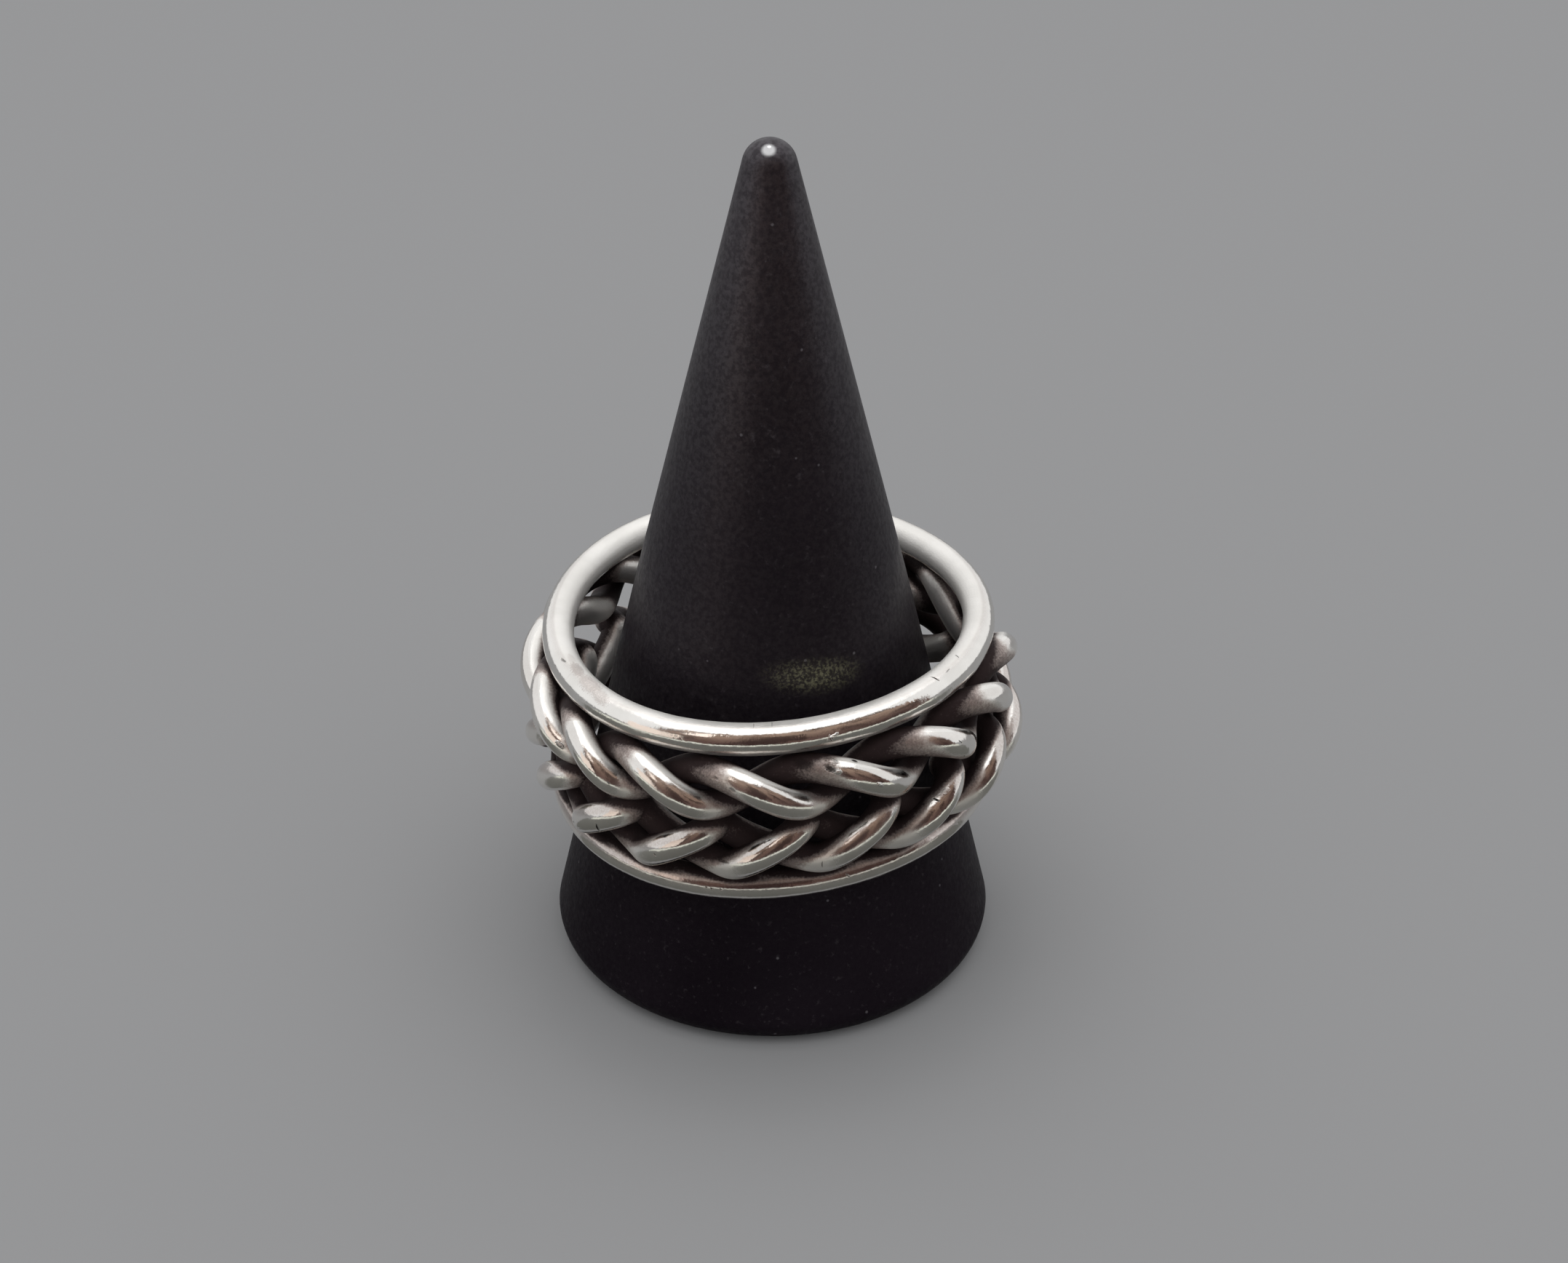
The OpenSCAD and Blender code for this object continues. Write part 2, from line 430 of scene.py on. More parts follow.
def finish(g, rope):
    """Where dark oxide stays and where the metal is satin. Polishing reaches
    what stands out, the finger wears the inside bright, and the rest is dark.
    On the faces turned down and those turned towards the other rope that dark
    is painted shade as well as oxide."""
    deg = np.degrees(g["a"]) % 360
    if rope:
        psi = (np.degrees(g["twist"][:, None]) + 180) % 360 - 180
        sec = (deg[None, :] + 90) % 360 - 90
        upper = g["name"].startswith("upper")
        outside = polish_and_shade(POLISH_AND_SHADE["upper" if upper else "lower"], psi, deg[None, :])
        if upper:
            mirror = smooth(-82, -44, psi) * smooth(92, 46, psi) * smooth(100, 72, sec)
            mirror = mirror * (1 - 0.8 * smooth(2, 32, psi) * smooth(52, 68, sec))
        else:
            mirror = smooth(-58, -18, psi) * smooth(80, 48, psi) * smooth(105, 80, sec)
        inside = smooth(80, 130, np.abs(psi)) * smooth(0.95, 0.30, g["deep"])
        worn = np.maximum(outside, 0.78 * inside)
        # dark where the polish stops: oxide, and painted shade on the faces turned down and towards
        # the other rope
        g["oxide_and_painted_shade"] = np.clip(1.0 * (1 - worn) + 0.4 * (g["occ"] - 0.20), 0, 1)
        g["satin"] = np.maximum(smooth(0.03, 0.34, g["oxide_and_painted_shade"]), 1 - mirror)
        # below 0: how matt and white the top of the polish is, above 0: how much
        #         # brown is painted on the band that faces up and out, a painted reflection of
        #         # the brown surroundings where the wires above hide the bright light overhead
        g["film_and_painted_tint"] = (-outside * smooth(66, 92, sec) * (1.0 if upper else 0.3)
                     + (0.18 if upper else 0.58) * smooth(20, 42, sec) * smooth(80, 64, sec))
        g["along"], g["around"] = 0 * g["s"], 0 * g["a"]
    else:
        sec = (deg + 180) % 360 - 180
        g["oxide_and_painted_shade"] = np.clip(1.4 * (g["occ"] - 0.18), 0, 1)
        if g["name"] == "rail_upper":
            top = smooth(48, 85, deg) * smooth(215, 180, deg)
            under = smooth(-12, -34, sec) * smooth(-120, -75, sec)
            g["oxide_and_painted_shade"] = g["oxide_and_painted_shade"] * (1 - 0.65 * under)
            top = np.maximum(top, 0.85 * under)
            matt = smooth(74, 96, deg) * smooth(215, 180, deg)
            g["film_and_painted_tint"] = 0.30 * top * (1 - matt) - 0.55 * matt + 0 * g["occ"]
        else:
            top = smooth(312, 275, deg) * smooth(145, 180, deg)
            # the lower rail's upper half, beneath the rope, is painted browner and darker: painted
            # shade of the rope above, added to the oxide in its hollows
            g["film_and_painted_tint"] = 0.8 * smooth(0, 28, sec) + 0 * g["occ"]
            g["oxide_and_painted_shade"] = np.clip(g["oxide_and_painted_shade"] + 0.62 * smooth(18, 52, sec), 0, 1)
        g["satin"] = np.maximum(np.broadcast_to(top, g["occ"].shape) * 1.0,
                                smooth(0.10, 0.50, g["oxide_and_painted_shade"]))
        g["along"], g["around"] = g["s"], g["a"] * RAIL_R


RING = build_ring()


# Marks of wear and soldering on the near side, in row-frame millimetres: the
# two ends of each, its width, how far it stands out (below 0 is a pit), how dark
# it is filled, and how rough its skin is
MARKS = (
    ((-9.82, -4.29, 18.01), (-9.59, -4.65, 18.05), 0.15, -0.050, 0.60, 0.0),
    ((-9.42, -4.08, 18.08), (-9.21, -4.85, 18.09), 0.45, 0.000, 0.00, 0.5),
    ((-9.21, -4.85, 18.09), (-8.80, -5.90, 18.09), 0.70, 0.000, 0.12, 1.0),
    ((-8.74, -5.97, 18.10), (-7.95, -7.20, 18.08), 0.95, 0.000, 0.00, 1.0),
    ((-8.08, -7.16, 18.08), (-7.58, -7.92, 18.03), 0.75, 0.000, 0.00, 0.8),
    ((-5.10, -9.39, 18.17), (-4.76, -9.66, 18.15), 0.20, -0.010, 0.00, 0.4),
    ((7.34, -6.52, 18.43), (7.74, -6.69, 18.30), 0.10, -0.060, 0.95, 0.0),
    ((8.53, -4.69, 18.44), (8.72, -4.92, 18.43), 0.08, -0.035, 0.60, 0.0),
    ((8.06, -6.13, 18.37), (8.28, -5.74, 18.40), 0.07, -0.025, 0.35, 0.0),
    ((-0.78, -10.01, 18.22), (-0.77, -10.44, 18.24), 0.05, -0.030, 0.55, 0.0),
    ((0.05, -9.84, 18.18), (0.05, -10.41, 18.25), 0.05, -0.030, 0.55, 0.0),
    ((2.61, -10.44, 17.63), (3.00, -10.25, 17.83), 0.20, 0.060, 0.00, 0.0),
    ((2.61, -10.39, 17.84), (2.77, -10.38, 17.52), 0.12, 0.040, 0.00, 0.0),
    ((-10.01, -6.26, 14.63), (-9.73, -6.44, 14.46), 0.28, 0.050, 0.15, 1.0),
    ((-8.75, -8.79, 14.82), (-8.67, -8.88, 14.80), 0.09, -0.040, 0.80, 0.0),
    ((-7.51, -9.49, 14.62), (-7.41, -9.53, 14.52), 0.08, -0.030, 0.50, 0.0),
    ((-8.14, -9.23, 12.13), (-8.00, -9.09, 11.57), 0.16, -0.070, 1.00, 0.0),
    ((-9.35, -7.56, 11.00), (-9.26, -7.88, 11.19), 0.08, -0.040, 0.90, 0.0),
    ((-5.39, -11.08, 11.69), (-5.32, -11.13, 11.64), 0.09, -0.040, 0.90, 0.0),
    ((-9.12, -8.12, 11.12), (-8.96, -8.35, 11.19), 0.09, -0.040, 0.70, 0.0),
    ((-2.56, -10.85, 11.27), (-1.98, -11.48, 11.48), 0.19, -0.070, 0.55, 0.0),
    ((2.34, -11.14, 11.34), (2.34, -11.13, 10.92), 0.06, -0.040, 0.90, 0.0),
    ((-1.83, -11.90, 15.94), (-1.63, -11.99, 15.81), 0.22, -0.035, 0.45, 0.0),
    ((-2.55, -11.45, 16.27), (-2.42, -11.56, 16.19), 0.16, -0.030, 0.20, 0.0),
    ((1.20, -10.78, 16.60), (1.80, -10.98, 16.53), 0.80, 0.000, 0.75, 0.0),
    ((2.50, -11.07, 16.55), (2.86, -11.18, 16.42), 0.44, -0.040, 0.90, 0.0),
    ((2.58, -10.79, 16.73), (2.86, -10.86, 16.68), 0.46, 0.070, 0.00, 0.0),
    ((2.98, -11.21, 16.37), (3.08, -11.20, 16.37), 0.30, 0.090, 0.00, 0.0),
    ((3.70, -10.50, 16.53), (3.84, -10.53, 16.49), 0.30, -0.090, 1.00, 0.0),
    ((4.86, -11.00, 15.58), (5.02, -10.95, 15.42), 0.24, 0.080, 0.00, 0.0),
    ((7.11, -8.91, 15.69), (7.17, -8.96, 15.80), 0.22, 0.050, 0.25, 0.4),
    ((8.64, -8.14, 15.97), (8.82, -8.06, 15.75), 0.06, -0.030, 0.85, 0.0),
    ((8.92, -7.88, 14.97), (8.96, -7.71, 14.77), 0.05, -0.030, 0.80, 0.0),
    ((7.47, -8.30, 12.84), (7.80, -8.48, 12.80), 0.12, -0.070, 0.90, 0.6),
    ((7.55, -8.30, 12.95), (8.20, -8.05, 13.12), 0.40, 0.000, 0.15, 0.7),
    ((-3.06, -10.70, 9.52), (-3.00, -10.72, 9.50), 0.07, -0.030, 0.85, 0.0),
    ((-2.83, -10.76, 9.49), (-2.75, -10.79, 9.46), 0.07, -0.030, 0.85, 0.0),
    ((-2.40, -10.84, 9.51), (-2.31, -10.86, 9.47), 0.06, -0.025, 0.70, 0.0),
    ((3.47, -10.10, 9.79), (3.62, -10.09, 9.66), 0.11, 0.040, 0.00, 0.5),
)


LAYERS = 3


def lay_marks():
    """Gives each wire's vertices the place of the mark that they lie near, in
    half lengths and half widths of it, and what the mark does there. Marks that
    overlap go into separate layers."""
    grids = [g for row in RING.values() for g in row]
    for g in grids:
        shape = g["p"].shape[:2]
        g["world"] = to_world(g["p"])
        g["way"] = (g["n"][..., 0:1] * AXIS_A + g["n"][..., 1:2] * AXIS_B
                    + g["n"][..., 2:3] * AXIS_N)
        for k in range(LAYERS):
            g["at_%d" % k] = np.full(shape + (3,), 9.0)
            g["does_%d" % k] = np.zeros(shape + (3,))
    for p0, p1, wide, high, dark, rough in MARKS:
        p0, p1 = np.array(p0), np.array(p1)
        mid = (p0 + p1) / 2
        near = [((g["world"] - mid) ** 2).sum(-1) for g in grids]
        g = grids[int(np.argmin([d.min() for d in near]))]
        d = ((g["world"] - mid) ** 2).sum(-1)
        n = g["way"].reshape(-1, 3)[d.argmin()]
        t = p1 - p0
        half = np.linalg.norm(t) / 2 + wide / 2
        t /= np.linalg.norm(t)
        b = np.cross(n, t)
        b /= np.linalg.norm(b)
        off = g["world"] - mid
        u, v = off @ t, off @ b
        mask = ((np.abs(u) < half + 0.22) & (np.abs(v) < wide / 2 + 0.22)
                & (d < (half + 0.5) ** 2) & (g["way"] @ n > 0.2))
        for k in range(LAYERS):
            at, does = g["at_%d" % k], g["does_%d" % k]
            wider = mask.copy()
            for axis in (0, 1):
                wider |= np.roll(wider, 1, axis) | np.roll(wider, -1, axis)
            if (at[wider][:, 0] == 9.0).all():
                at[mask] = np.stack([u[mask] / half, v[mask] / (wide / 2), 0 * u[mask]], -1)
                does[mask] = (high, dark, rough)
                break
        else:
            raise ValueError("no layer is free for a mark")


lay_marks()


# ---------------------------------------------------------------- materials
class Nodes:
    def __init__(self, name):
        self.mat = bpy.data.materials.new(name)
        self.mat.use_nodes = True
        self.t = self.mat.node_tree
        self.bsdf = self.t.nodes["Principled BSDF"]

    def new(self, kind, **kw):
        n = self.t.nodes.new(kind)
        for k, v in kw.items():
            setattr(n, k, v)
        return n

    def link(self, a, b):
        self.t.links.new(a, b)

    def value(self, sock, v):
        if isinstance(v, (int, float, tuple)):
            sock.default_value = v
        else:
            self.link(v, sock)

    def math(self, op, a, b=None, clamp=False):
        n = self.new("ShaderNodeMath", operation=op, use_clamp=clamp)
        self.value(n.inputs[0], a)
        if b is not None:
            self.value(n.inputs[1], b)
        return n.outputs[0]

    def ramp(self, x, a, b, lo=0.0, hi=1.0, smooth_=True):
        n = self.new("ShaderNodeMapRange",
                     interpolation_type="SMOOTHSTEP" if smooth_ else "LINEAR")
        self.value(n.inputs["Value"], x)
        n.inputs["From Min"].default_value = a
        n.inputs["From Max"].default_value = b
        n.inputs["To Min"].default_value = lo
        n.inputs["To Max"].default_value = hi
        return n.outputs[0]

    def noise(self, vec, scale, detail=3.0, rough=0.5, dist=0.0):
        n = self.new("ShaderNodeTexNoise")
        self.link(vec, n.inputs["Vector"])
        n.inputs["Scale"].default_value = scale
        n.inputs["Detail"].default_value = detail
        n.inputs["Roughness"].default_value = rough
        n.inputs["Distortion"].default_value = dist
        return n.outputs[0]

    def voronoi(self, vec, scale, feature="F1", rnd=1.0):
        n = self.new("ShaderNodeTexVoronoi", feature=feature)
        self.link(vec, n.inputs["Vector"])
        n.inputs["Scale"].default_value = scale
        n.inputs["Randomness"].default_value = rnd
        return n.outputs[0]

    def attr(self, name, vector=False):
        n = self.new("ShaderNodeAttribute", attribute_name=name)
        n.attribute_type = "GEOMETRY"
        return n.outputs["Vector" if vector else "Fac"]

    def mix(self, f, a, b):
        n = self.new("ShaderNodeMix", data_type="RGBA")
        self.value(n.inputs[0], f)
        for sock, v in ((n.inputs[6], a), (n.inputs[7], b)):
            if isinstance(v, tuple):
                sock.default_value = v if len(v) == 4 else (*v, 1.0)
            else:
                self.link(v, sock)
        return n.outputs[2]

    def total(self, rows):
        """The sum of each input times its size."""
        out = None
        for sock, size in rows:
            sock = self.math("MULTIPLY", sock, size)
            out = sock if out is None else self.math("ADD", out, sock)
        return out

    def bump(self, height, strength, distance, prev=None):
        n = self.new("ShaderNodeBump")
        n.inputs["Strength"].default_value = strength
        n.inputs["Distance"].default_value = distance
        self.link(height, n.inputs["Height"])
        if prev is not None:
            self.link(prev, n.inputs["Normal"])
        return n.outputs[0]


def add_marks(m, ragged):
    """Height in millimetres, dark fill and rough skin that the marks give."""
    high = dark = rough = None
    for k in range(LAYERS):
        off = m.new("ShaderNodeVectorMath", operation="MULTIPLY_ADD")
        m.link(ragged, off.inputs[0])
        off.inputs[1].default_value = (0.75, 0.75, 0.0)
        off.inputs[2].default_value = (-0.375, -0.375, 0.0)
        at = m.new("ShaderNodeVectorMath", operation="ADD")
        m.link(m.attr("at_%d" % k, True), at.inputs[0])
        m.link(off.outputs[0], at.inputs[1])
        far = m.new("ShaderNodeVectorMath", operation="LENGTH")
        m.link(at.outputs[0], far.inputs[0])
        does = m.new("ShaderNodeSeparateXYZ")
        m.link(m.attr("does_%d" % k, True), does.inputs[0])
        far = far.outputs["Value"]
        h = m.math("MULTIPLY", does.outputs[0], m.ramp(far, 0.25, 1.0, 1.0, 0.0))
        d = m.math("MULTIPLY", does.outputs[1], m.ramp(far, 0.35, 0.90, 1.0, 0.0))
        r = m.math("MULTIPLY", does.outputs[2], m.ramp(far, 0.50, 1.0, 1.0, 0.0))
        high = h if high is None else m.math("ADD", high, h)
        dark = d if dark is None else m.math("MAXIMUM", dark, d)
        rough = r if rough is None else m.math("MAXIMUM", rough, r)
    return high, dark, rough


def silver_material():
    m = Nodes("old_silver")
    obj = m.new("ShaderNodeTexCoord").outputs["Object"]
    oxide_and_shade_in = m.attr("oxide_and_painted_shade")
    satin = m.attr("satin")
    ragged = m.new("ShaderNodeTexNoise")
    m.link(obj, ragged.inputs["Vector"])
    ragged.inputs["Scale"].default_value = 12000.0
    high, dark, scaly = add_marks(m, ragged.outputs["Color"])
    broad = m.noise(obj, 420.0, 3.0, 0.55)
    mid = m.noise(obj, 1900.0, 4.0, 0.6)
    fine = m.noise(obj, 7000.0, 3.0, 0.6)
    grain = m.noise(obj, 10500.0, 2.0, 0.65)
    # fine polishing lines that run along the edge wires
    run = m.new("ShaderNodeCombineXYZ")
    m.link(m.math("MULTIPLY", m.attr("along"), 0.7), run.inputs[0])
    m.link(m.math("MULTIPLY", m.attr("around"), 11.0), run.inputs[1])
    lines = m.noise(run.outputs[0], 1.0, 3.0, 0.6)
    # oxide lies where the wires shelter the metal, with a ragged edge; the same dark also carries the
    # painted shade of the strands' down-turned and inward faces and of the lower rail under the rope
    edge = m.math("ADD", oxide_and_shade_in, m.math("MULTIPLY", m.math("SUBTRACT", mid, 0.5), 0.22))
    edge = m.math("ADD", edge, m.math("MULTIPLY", m.math("SUBTRACT", fine, 0.5), 0.25))
    edge = m.math("ADD", edge, m.math("MULTIPLY", m.math("SUBTRACT", grain, 0.5), 0.40))
    dark_oxide_and_shade = m.ramp(edge, 0.38, 0.96)
    film_and_painted_tint = m.ramp(edge, 0.12, 0.60)
    film_and_painted_tint = m.math("MAXIMUM", film_and_painted_tint, m.math("MULTIPLY", scaly, 0.55))
    # brown from the attribute: a tarnish on the top of the upper rail, and painted shade and painted
    # reflection on the ropes' band that faces up and out and on the lower rail's upper half
    tarnish_and_painted_brown = m.math("MULTIPLY", m.attr("film_and_painted_tint"), m.ramp(grain, 0.25, 0.75, 0.75, 1.15))
    film_and_painted_tint = m.math("MAXIMUM", film_and_painted_tint, tarnish_and_painted_brown, clamp=True)
    warm = m.mix(film_and_painted_tint, (0.91, 0.895, 0.865), (0.47, 0.40, 0.375))
    tone = m.mix(m.ramp(broad, 0.3, 0.7), (0.90, 0.89, 0.87), (1.0, 0.99, 0.975))
    n = m.new("ShaderNodeMix", data_type="RGBA", blend_type="MULTIPLY")
    n.inputs[0].default_value = 1.0
    m.link(warm, n.inputs[6])
    m.link(tone, n.inputs[7])
    base = m.mix(dark_oxide_and_shade, n.outputs[2], (0.032, 0.021, 0.021))
    base = m.mix(dark, base, (0.020, 0.014, 0.013))
    m.link(base, m.bsdf.inputs["Base Color"])
    metal = m.math("SUBTRACT", 1.0, m.math("MULTIPLY", satin, 0.14))
    matt = m.math("MINIMUM", m.attr("film_and_painted_tint"), 0.0)
    metal = m.math("ADD", metal, m.math("MULTIPLY", matt, 0.58))
    m.link(m.math("MULTIPLY", metal, m.ramp(dark_oxide_and_shade, 0.0, 1.0, 1.0, 0.60)),
           m.bsdf.inputs["Metallic"])
    m.link(m.ramp(dark_oxide_and_shade, 0.3, 1.0, 0.5, 0.15), m.bsdf.inputs["Specular IOR Level"])
    soft = m.math("MAXIMUM", satin, scaly)
    soft = m.math("MAXIMUM", soft, m.ramp(broad, 0.50, 0.72, 0.0, 0.35))
    rough = m.ramp(mid, 0.3, 0.75, 0.08, 0.17)
    rough = m.math("ADD", rough, m.math("MULTIPLY", soft, 0.32))
    rough = m.math("ADD", rough, m.math("MULTIPLY", dark_oxide_and_shade, 0.16))
    rough = m.math("ADD", rough, m.math("MULTIPLY", dark, 0.25))
    m.link(rough, m.bsdf.inputs["Roughness"])
    scales = m.voronoi(obj, 11000.0)
    # heights in millimetres
    b = m.bump(m.total((
        (mid, 0.0150), (fine, 0.0020),
        (m.math("MULTIPLY", lines, m.ramp(soft, 0.0, 1.0, 0.2, 1.0)), 0.0030),
        (m.math("MULTIPLY", grain, m.ramp(soft, 0.0, 1.0, 0.04, 1.0)), 0.0100),
        (m.math("MULTIPLY", scales, scaly), 0.0150), (high, 1.0))), 1.0, MM)
    m.link(b, m.bsdf.inputs["Normal"])
    return m.mat


def stand_material():
    m = Nodes("matt_black")
    tc = m.new("ShaderNodeTexCoord")
    obj = tc.outputs["Object"]
    high = m.new("ShaderNodeSeparateXYZ")
    m.link(obj, high.inputs[0])
    broad = m.noise(obj, 90.0, 3.0, 0.55)
    grain = m.noise(obj, 3400.0, 3.0, 0.65)
    peel = m.noise(obj, 900.0, 2.0, 0.5)
    speck = m.voronoi(obj, 1500.0)
    dust = m.voronoi(obj, 640.0)
    base = m.mix(m.ramp(broad, 0.3, 0.7), (0.0062, 0.0042, 0.0063), (0.0098, 0.0070, 0.0098))
    base = m.mix(m.ramp(grain, 0.58, 0.76), base, (0.024, 0.020, 0.023))
    base = m.mix(m.ramp(dust, 0.026, 0.060, 0.40, 0.0), base, (0.16, 0.15, 0.16))
    # painted caustic: the light that the ring's silver throws onto the side of the stand it leans on,
    # painted as a grainy olive patch in the base colour
    caustic_spot = m.new("ShaderNodeMapping", vector_type="TEXTURE")
    m.link(obj, caustic_spot.inputs["Vector"])
    caustic_spot.inputs["Location"].default_value = (0.00200, -0.00640, 0.01845)
    caustic_spot.inputs["Rotation"].default_value = (0.0, 0.10, 0.30)
    caustic_spot.inputs["Scale"].default_value = (0.0031, 0.0016, 0.0011)
    near = m.new("ShaderNodeVectorMath", operation="LENGTH")
    m.link(caustic_spot.outputs[0], near.inputs[0])
    in_caustic = m.ramp(near.outputs["Value"], 0.1, 1.0, 1.0, 0.0)
    painted_caustic = m.math("MULTIPLY", in_caustic, m.ramp(m.noise(obj, 7500.0, 2.0, 0.6), 0.42, 0.66, 0.12, 1.0))
    base = m.mix(painted_caustic, base, (0.115, 0.110, 0.066))
    m.link(base, m.bsdf.inputs["Base Color"])
    # the tip is rubbed shiny where fingers pick the stand up
    spot = m.new("ShaderNodeMapping", vector_type="TEXTURE")
    m.link(obj, spot.inputs["Vector"])
    spot.inputs["Location"].default_value = (-0.00004, -0.00068, 0.04209)
    spot.inputs["Scale"].default_value = (0.00040, 0.00040, 0.00040)
    far = m.new("ShaderNodeVectorMath", operation="LENGTH")
    m.link(spot.outputs[0], far.inputs[0])
    rubbed = m.ramp(far.outputs["Value"], 0.45, 1.0, 1.0, 0.0)
    rough = m.ramp(grain, 0.25, 0.75, 0.40, 0.52)
    m.link(rough, m.bsdf.inputs["Roughness"])
    worn = m.ramp(high.outputs["Z"], 0.004, 0.020, 0.05, 0.27)
    worn = m.math("ADD", worn, m.ramp(high.outputs["Z"], 0.022, 0.041, 0.0, 0.48))
    worn = m.math("MULTIPLY", worn, m.ramp(m.noise(obj, 4200.0, 2.0, 0.6), 0.34, 0.66, 0.60, 1.15))
    m.link(worn, m.bsdf.inputs["Specular IOR Level"])
    m.bsdf.inputs["Specular Tint"].default_value = (1.0, 0.93, 1.0, 1)
    m.link(rubbed, m.bsdf.inputs["Coat Weight"])
    m.bsdf.inputs["Coat Roughness"].default_value = 0.07
    m.bsdf.inputs["Coat IOR"].default_value = 4.0
    pit = m.ramp(speck, 0.0, 0.22, 0.0, 1.0)
    b1 = m.bump(peel, 0.70, 0.00006)
    b2 = m.bump(grain, 0.60, 0.00003, b1)
    b3 = m.bump(pit, 0.10, 0.00001, b2)
    m.link(b3, m.bsdf.inputs["Normal"])
    return m.mat


SILVER = silver_material()
STAND = stand_material()


def add_piece(name, me, mat, node):
    me.materials.append(mat)
    ob = bpy.data.objects.new(name, me)
    bpy.context.scene.collection.objects.link(ob)
    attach(ob, "root")
    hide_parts(node)
    return ob


for piece, grids in RING.items():
    co, faces, extra = join_grids(grids)
    add_piece(piece, grid_mesh(piece, co, faces, extra), SILVER, "ring")


# ---------------------------------------------------------------- the stand
# Half outline in millimetres, from the middle of the base up to the tip
BASE_R, NECK_R, NECK_Z = 10.77, 6.42, 20.0
STAND_H, TIP_R, EDGE_R = 42.3, 1.25, 1.2


def arc(cx, cz, r, a0, a1, n):
    a = np.linspace(math.radians(a0), math.radians(a1), n)
    return np.stack([cx + r * np.cos(a), cz + r * np.sin(a)], -1)


def stand_profile():
    tip_z = STAND_H - TIP_R
    lean = math.degrees(math.asin((NECK_R - TIP_R) / math.hypot(NECK_R, tip_z - NECK_Z)))
    foot = arc(BASE_R - EDGE_R, EDGE_R, EDGE_R, -90, 0, 14)
    tip = arc(0, tip_z, TIP_R, lean, 90, 22)

    def line(a, b, n):
        t = np.linspace(0, 1, n + 1)[1:-1]
        return a + (b - a) * t[:, None]
    neck = np.array([[NECK_R, NECK_Z]])
    rows = [np.array([[0.9, 0.0], [3.0, 0.0], [6.0, 0.0], [8.5, 0.0]]), foot,
            line(foot[-1], neck[0], 60), neck, line(neck[0], tip[0], 64), tip[:-1]]
    return np.concatenate(rows)


def build_stand():
    prof = stand_profile()
    m, seg = len(prof), 240
    a = np.linspace(0, 2 * math.pi, seg, endpoint=False)
    co = np.zeros((m, seg, 3))
    co[..., 0] = prof[:, 0:1] * np.cos(a)
    co[..., 1] = prof[:, 0:1] * np.sin(a)
    co[..., 2] = prof[:, 1:2]
    co = np.concatenate([co.reshape(-1, 3), [[0, 0, 0], [0, 0, STAND_H]]]) * MM
    faces = []
    j = np.arange(seg)
    j2 = (j + 1) % seg
    i = np.arange(m - 1)
    q = np.stack([i[:, None] * seg + j, i[:, None] * seg + j2,
                  (i[:, None] + 1) * seg + j2, (i[:, None] + 1) * seg + j], -1).reshape(-1, 4)
    me = bpy.data.meshes.new("display_cone_skin")
    low, top = m * seg, m * seg + 1
    faces = [tuple(f) for f in q.tolist()]
    faces += [(low, int(y), int(x)) for x, y in zip(j, j2)]
    faces += [(top, (m - 1) * seg + int(x), (m - 1) * seg + int(y)) for x, y in zip(j, j2)]
    me.from_pydata([tuple(c) for c in co.tolist()], [], faces)
    me.polygons.foreach_set("use_smooth", np.ones(len(faces), bool))
    me.update()
    return me


add_piece("stand_cone", build_stand(), STAND, "display_cone")


# ---------------------------------------------------------------- floor and light
def floor():
    me = bpy.data.meshes.new("floor")
    s = 3.0
    me.from_pydata([(-s, -s, 0), (s, -s, 0), (s, s, 0), (-s, s, 0)], [], [(0, 1, 2, 3)])
    ob = bpy.data.objects.new("floor", me)
    bpy.context.scene.collection.objects.link(ob)
    m = Nodes("pale_floor")
    m.bsdf.inputs["Base Color"].default_value = (0.284, 0.284, 0.286, 1)
    m.bsdf.inputs["Roughness"].default_value = 0.85
    m.bsdf.inputs["Specular IOR Level"].default_value = 0.0
    me.materials.append(m.mat)


floor()


def area(name, at, to, sx, sy, radiance, color=(1, 1, 1), shape="RECTANGLE"):
    """A soft panel of even brightness, not seen by the camera itself."""
    li = bpy.data.lights.new(name, "AREA")
    li.shape = shape
    li.size = sx
    li.size_y = sy
    size = sx * sy * (math.pi / 4 if shape in ("DISK", "ELLIPSE") else 1.0)
    li.energy = math.pi * size * radiance
    li.color = color
    ob = bpy.data.objects.new(name, li)
    bpy.context.scene.collection.objects.link(ob)
    d = (Vector(to) - Vector(at)).normalized()
    ob.matrix_world = Matrix.Translation(Vector(at)) @ d.to_track_quat("-Z", "Y").to_matrix().to_4x4()
    ob.visible_camera = False
    return ob


HEART = (0.0, 0.0, 0.015)
area("top_panel", (0.0, 0.055, 0.50), (0.0, 0.055, 0.0), 0.60, 0.57, 0.60)
area("key", (-0.01, 0.11, 0.48), HEART, 0.085, 0.085, 3.0, (1.0, 0.99, 0.98), "DISK")


def curved_sheet(name, rows, a0, a1, mat, shades=True):
    """A curved studio sheet on the near side of the ring. rows are radius and
    height in metres, a0 and a1 the angles of its two ends. It shows only in
    reflections."""
    n = 48
    co, fc = [], []
    for i in range(n + 1):
        a = math.radians(a0 + (a1 - a0) * i / n)
        co += [(r * math.cos(a), r * math.sin(a), z) for r, z in rows]
    k = len(rows)
    for i in range(n):
        for j in range(k - 1):
            fc.append((k * i + j, k * (i + 1) + j, k * (i + 1) + j + 1, k * i + j + 1))
    me = bpy.data.meshes.new(name)
    me.from_pydata(co, [], fc)
    ob = bpy.data.objects.new(name, me)
    bpy.context.scene.collection.objects.link(ob)
    me.materials.append(mat)
    ob.visible_camera = False
    ob.visible_shadow = ob.visible_diffuse = shades


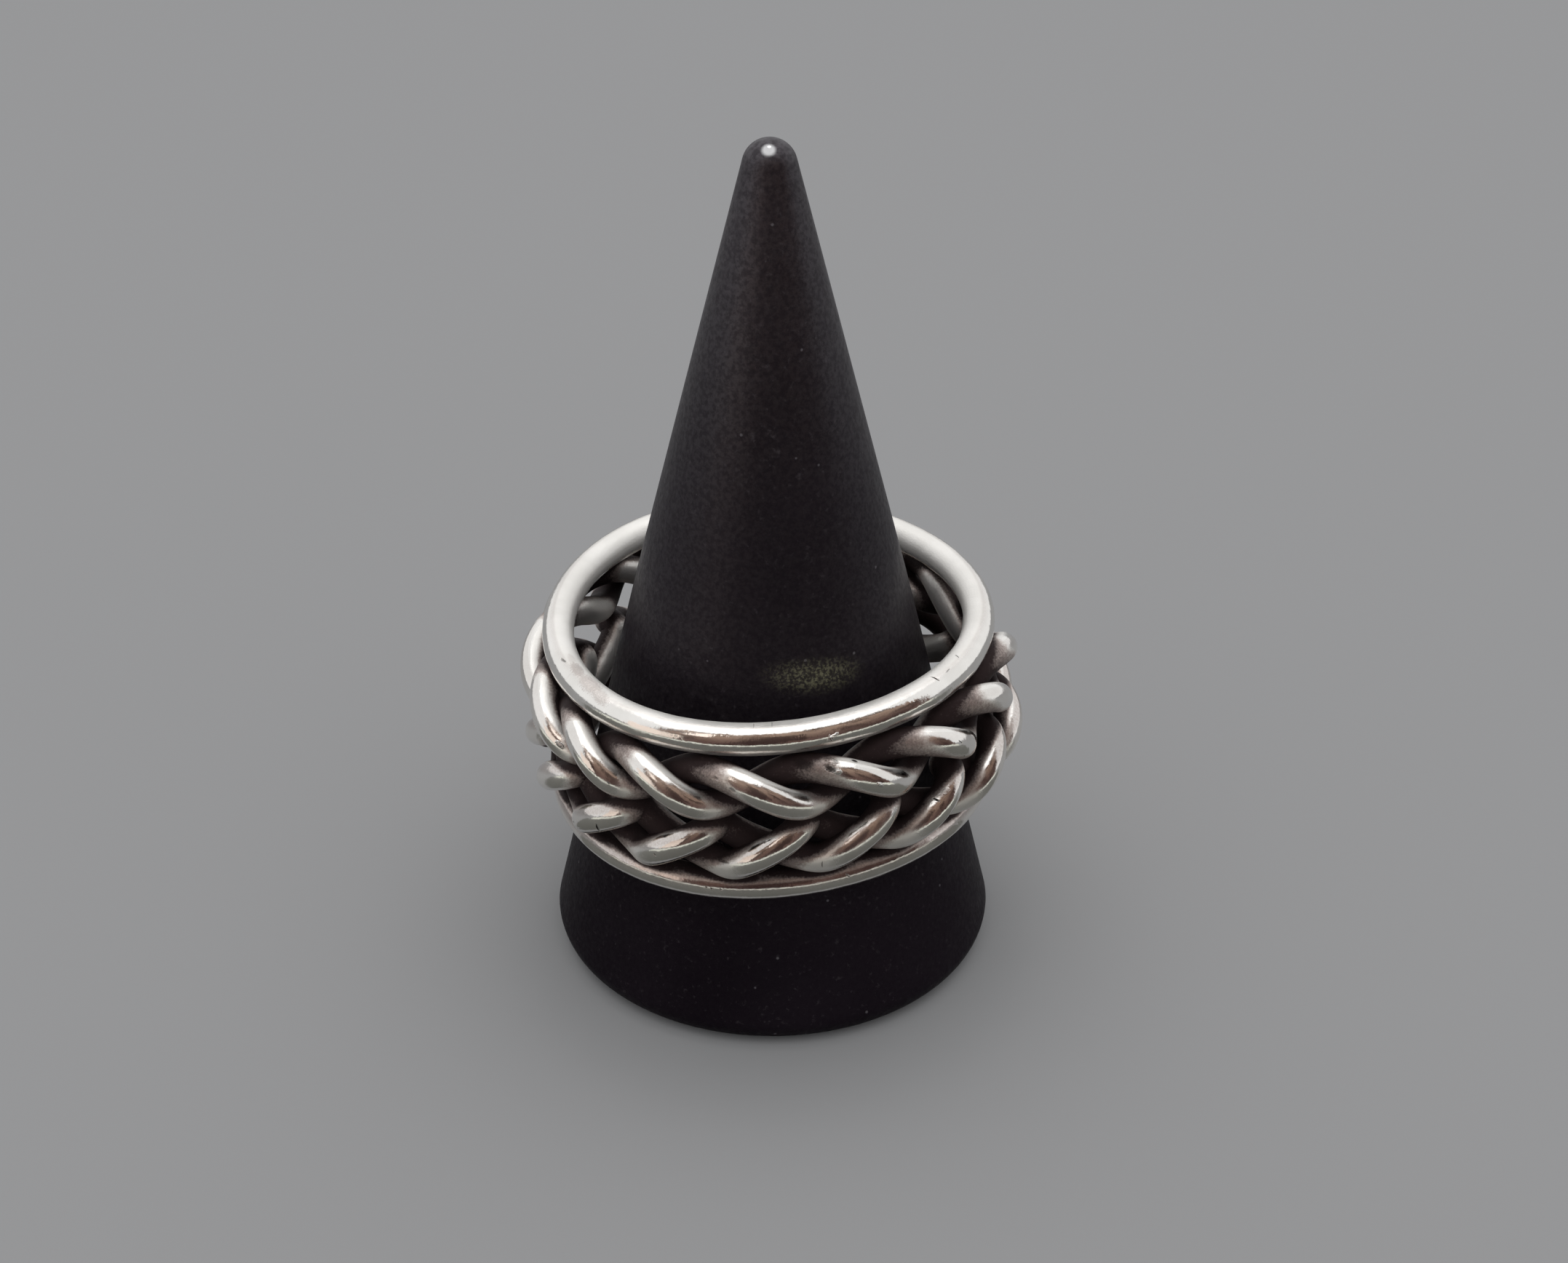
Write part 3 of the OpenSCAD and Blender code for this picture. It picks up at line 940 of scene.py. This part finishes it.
def dark_cloth():
    """Brown cloth, paler towards its top, with soft folds."""
    m = Nodes("dark_cloth")
    obj = m.new("ShaderNodeTexCoord").outputs["Object"]
    high = m.new("ShaderNodeSeparateXYZ")
    m.link(obj, high.inputs[0])
    hang = m.new("ShaderNodeMapping")
    m.link(obj, hang.inputs["Vector"])
    hang.inputs["Scale"].default_value = (1.0, 1.0, 0.35)
    folds = m.ramp(m.noise(hang.outputs[0], 62.0, 3.0, 0.6), 0.44, 0.58)
    base = m.mix(m.ramp(high.outputs["Z"], 0.010, 0.085), (0.19, 0.115, 0.10),
                 (0.56, 0.40, 0.31))
    base = m.mix(m.math("MULTIPLY", folds, 0.80), base, (0.042, 0.022, 0.022))
    m.link(base, m.bsdf.inputs["Base Color"])
    m.bsdf.inputs["Roughness"].default_value = 0.9
    m.bsdf.inputs["Specular IOR Level"].default_value = 0.1
    return m.mat


def card(name, color, glow):
    m = Nodes(name)
    m.bsdf.inputs["Base Color"].default_value = (*[0.8 * c for c in color], 1)
    m.bsdf.inputs["Roughness"].default_value = 0.7
    m.bsdf.inputs["Emission Color"].default_value = (*color, 1)
    m.bsdf.inputs["Emission Strength"].default_value = glow
    return m.mat


curved_sheet("dark_screen", [(0.060, 0.0088), (0.060, 0.060), (0.060, 0.118)], -140, -16,
             dark_cloth(), False)
curved_sheet("front_card", [(0.064, 0.0004), (0.150, 0.0004)], -170, -10,
             card("bright_card", (0.72, 0.73, 0.65), 0.15), False)
curved_sheet("near_card", [(0.014, 0.0003), (0.064, 0.0003)], -180, 0,
             card("grey_card", (0.134, 0.134, 0.122), 0.0), False)
curved_sheet("warm_card", [(0.058, 0.012), (0.058, 0.038)], -152, -126,
             card("peach_card", (1.0, 0.86, 0.77), 0.42), False)
curved_sheet("high_card", [(0.058, 0.052), (0.058, 0.090)], -127, -113,
             card("high_peach_card", (1.0, 0.89, 0.82), 0.85), False)

world = bpy.data.worlds.new("studio")
world.use_nodes = True
bg = world.node_tree.nodes["Background"]
bg.inputs["Color"].default_value = (0.98, 0.985, 1.0, 1)
bg.inputs["Strength"].default_value = 0.91
bpy.context.scene.world = world

scene = bpy.context.scene
scene.view_settings.view_transform = "Standard"
